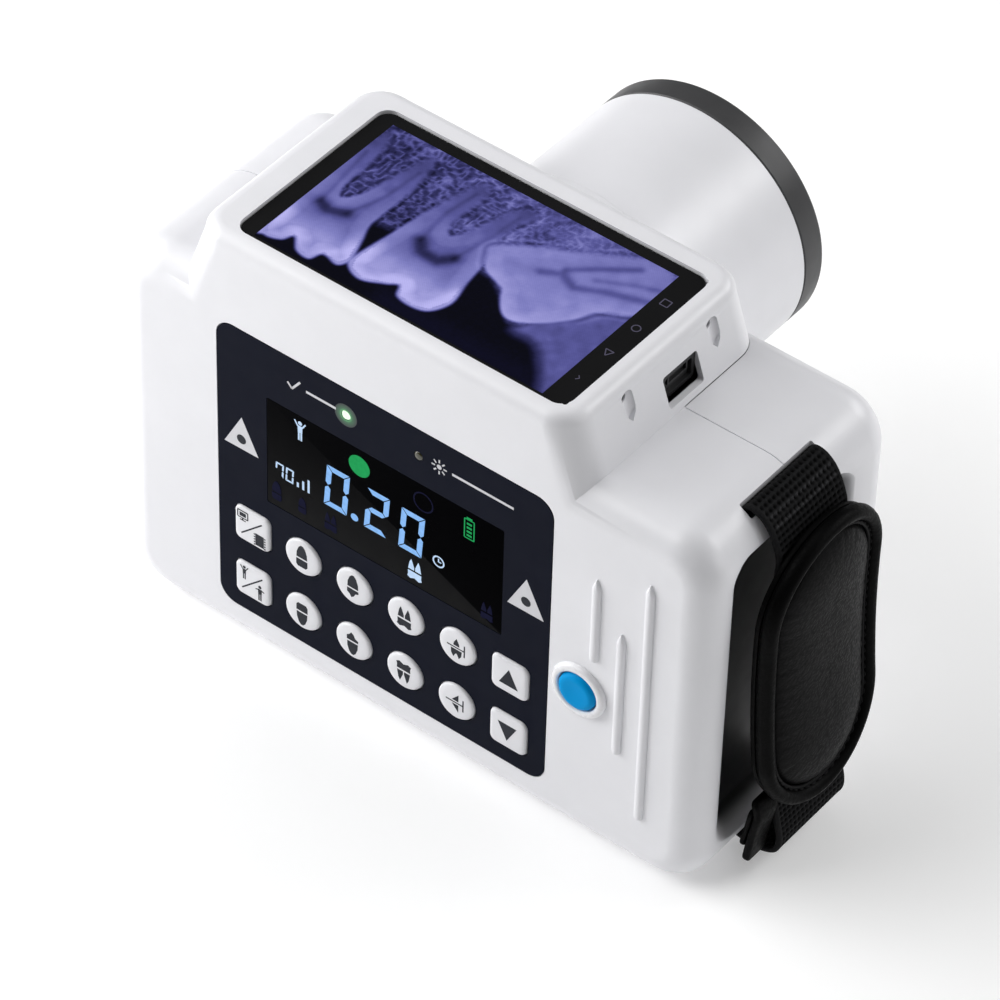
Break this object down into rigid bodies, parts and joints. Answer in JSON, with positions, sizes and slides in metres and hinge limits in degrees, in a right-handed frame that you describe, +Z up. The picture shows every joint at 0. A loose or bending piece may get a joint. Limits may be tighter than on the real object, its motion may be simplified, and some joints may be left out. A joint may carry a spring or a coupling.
{
  "type": "intraoral x-ray unit",
  "caption": "Handheld dental X-ray unit: two-part body, screen housing on top, keypad and lit display, exposure button, round cone and padded hand strap.",
  "frame": {"origin": "on the underside, below the beam axis, 43 mm behind the control face", "axes": "+X to the operator's right, +Y along the beam away from the operator, +Z up"},
  "size_m": [0.2285, 0.1562, 0.1558],
  "materials": {
    "white_plastic": "satin",
    "ring_plastic": "satin",
    "screen_glass": "gloss",
    "screen_light": "lit",
    "circuit_board": "matte",
    "socket_metal": "satin",
    "panel_film": "satin",
    "display_window": "gloss",
    "lamp_lit": "lit",
    "lamp_off": "gloss",
    "key_plastic": "satin",
    "blue_plastic": "gloss",
    "black_plastic": "matte",
    "cell_wrap": "gloss",
    "aluminium": "brushed",
    "tube_glass": "clear",
    "copper": "satin",
    "lead": "matte",
    "screw_steel": "satin",
    "webbing": "woven",
    "leather": "grained"
  },
  "bodies": {
    "housing": {"front_shell": "white_plastic", "rear_shell": "white_plastic", "cone_tube": "white_plastic", "cone_liner": "lead", "cone_end_ring": "ring_plastic", "screen_glass": "screen_glass", "screen_panel": "screen_light", "screen_board": "circuit_board", "port_socket": "socket_metal", "control_panel": "panel_film", "display_window": "display_window", "display_module": "circuit_board", "ready_lamp": "lamp_lit", "exposure_lamp": "lamp_off", "key_switches": "socket_metal", "keypad_board": "circuit_board", "button_bezel": "white_plastic", "exposure_switch": "black_plastic", "button_board": "circuit_board", "main_board": "circuit_board", "buzzer": "black_plastic", "battery_cells": "cell_wrap", "battery_tray": "black_plastic", "tube_head_case": "aluminium", "tube_head_lid": "aluminium", "xray_tube": "tube_glass", "high_voltage_transformer": "copper", "lead_shield": "lead", "beam_filter": "aluminium", "shell_screws": "screw_steel", "cone_screws": "screw_steel", "strap_webbing": "webbing", "strap_anchors": "screw_steel", "pad_backing": "leather", "pad_border": "leather", "pad_cushion": "leather", "strap_tail": "leather"},
    "tooth_key_1": {"tooth_key_1": "key_plastic"},
    "tooth_key_2": {"tooth_key_2": "key_plastic"},
    "tooth_key_3": {"tooth_key_3": "key_plastic"},
    "tooth_key_4": {"tooth_key_4": "key_plastic"},
    "tooth_key_5": {"tooth_key_5": "key_plastic"},
    "tooth_key_6": {"tooth_key_6": "key_plastic"},
    "tooth_key_7": {"tooth_key_7": "key_plastic"},
    "tooth_key_8": {"tooth_key_8": "key_plastic"},
    "receptor_key": {"receptor_key": "key_plastic"},
    "patient_key": {"patient_key": "key_plastic"},
    "up_key": {"up_key": "key_plastic"},
    "down_key": {"down_key": "key_plastic"},
    "exposure_button": {"exposure_button": "blue_plastic"}
  },
  "joints": [
    {"name": "tooth_key_1_press", "type": "slide", "parent": "housing", "child": "tooth_key_1", "axis": [0, 1, 0], "range_m": [0, 0.0005], "stiffness_N_per_m": 1500, "springref_m": -0.001},
    {"name": "tooth_key_2_press", "type": "slide", "parent": "housing", "child": "tooth_key_2", "axis": [0, 1, 0], "range_m": [0, 0.0005], "stiffness_N_per_m": 1500, "springref_m": -0.001},
    {"name": "tooth_key_3_press", "type": "slide", "parent": "housing", "child": "tooth_key_3", "axis": [0, 1, 0], "range_m": [0, 0.0005], "stiffness_N_per_m": 1500, "springref_m": -0.001},
    {"name": "tooth_key_4_press", "type": "slide", "parent": "housing", "child": "tooth_key_4", "axis": [0, 1, 0], "range_m": [0, 0.0005], "stiffness_N_per_m": 1500, "springref_m": -0.001},
    {"name": "tooth_key_5_press", "type": "slide", "parent": "housing", "child": "tooth_key_5", "axis": [0, 1, 0], "range_m": [0, 0.0005], "stiffness_N_per_m": 1500, "springref_m": -0.001},
    {"name": "tooth_key_6_press", "type": "slide", "parent": "housing", "child": "tooth_key_6", "axis": [0, 1, 0], "range_m": [0, 0.0005], "stiffness_N_per_m": 1500, "springref_m": -0.001},
    {"name": "tooth_key_7_press", "type": "slide", "parent": "housing", "child": "tooth_key_7", "axis": [0, 1, 0], "range_m": [0, 0.0005], "stiffness_N_per_m": 1500, "springref_m": -0.001},
    {"name": "tooth_key_8_press", "type": "slide", "parent": "housing", "child": "tooth_key_8", "axis": [0, 1, 0], "range_m": [0, 0.0005], "stiffness_N_per_m": 1500, "springref_m": -0.001},
    {"name": "receptor_key_press", "type": "slide", "parent": "housing", "child": "receptor_key", "axis": [0, 1, 0], "range_m": [0, 0.0005], "stiffness_N_per_m": 1500, "springref_m": -0.001},
    {"name": "patient_key_press", "type": "slide", "parent": "housing", "child": "patient_key", "axis": [0, 1, 0], "range_m": [0, 0.0005], "stiffness_N_per_m": 1500, "springref_m": -0.001},
    {"name": "up_key_press", "type": "slide", "parent": "housing", "child": "up_key", "axis": [0, 1, 0], "range_m": [0, 0.0005], "stiffness_N_per_m": 1500, "springref_m": -0.001},
    {"name": "down_key_press", "type": "slide", "parent": "housing", "child": "down_key", "axis": [0, 1, 0], "range_m": [0, 0.0005], "stiffness_N_per_m": 1500, "springref_m": -0.001},
    {"name": "exposure_button_press", "type": "slide", "parent": "housing", "child": "exposure_button", "axis": [0, 1, 0], "range_m": [0, 0.0012], "stiffness_N_per_m": 1200, "springref_m": -0.002}
  ]
}
